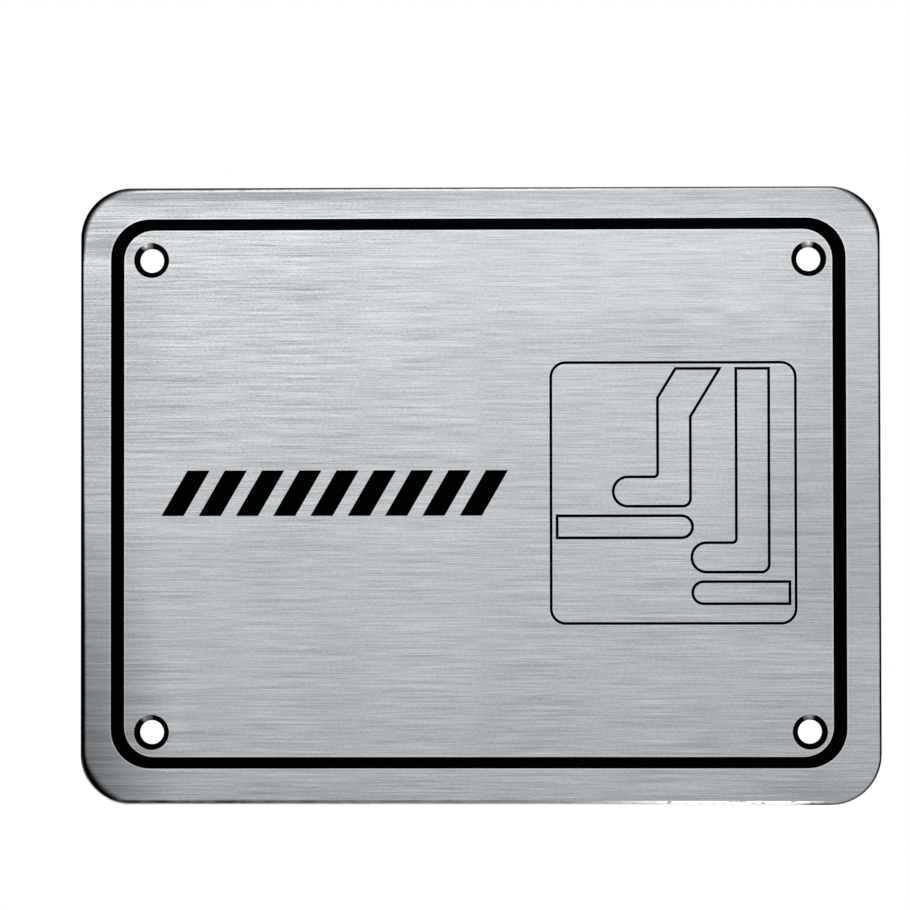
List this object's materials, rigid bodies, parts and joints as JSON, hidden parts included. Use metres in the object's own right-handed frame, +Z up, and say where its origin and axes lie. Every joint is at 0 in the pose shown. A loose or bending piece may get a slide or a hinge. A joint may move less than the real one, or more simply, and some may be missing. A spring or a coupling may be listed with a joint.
{
  "type": "step warning sign plate",
  "caption": "Brushed steel wall sign with rounded corners and countersunk screw holes, etched and filled in black with a border, slanted caution bars and a figure of legs on steps.",
  "frame": {"origin": "middle of the flat back, the face that lies on the wall", "axes": "+Z up as the sign hangs, +X to the right as it is read, +Y out of the back into the wall, so the face looks along -Y"},
  "size_m": [0.18, 0.002, 0.139],
  "materials": {
    "brushed_steel": "stainless sheet with a fine level hairline grain, worn dark on its rounded edge and in its countersinks",
    "black_enamel": "deep black enamel, a little glossy"
  },
  "bodies": {
    "root": {"sign_plate": "brushed_steel", "border_infill": "black_enamel", "caution_bar_infill": "black_enamel", "pictogram_frame_infill": "black_enamel", "upper_leg_infill": "black_enamel", "lower_leg_infill": "black_enamel", "upper_step_infill": "black_enamel", "lower_step_infill": "black_enamel"}
  },
  "joints": []
}
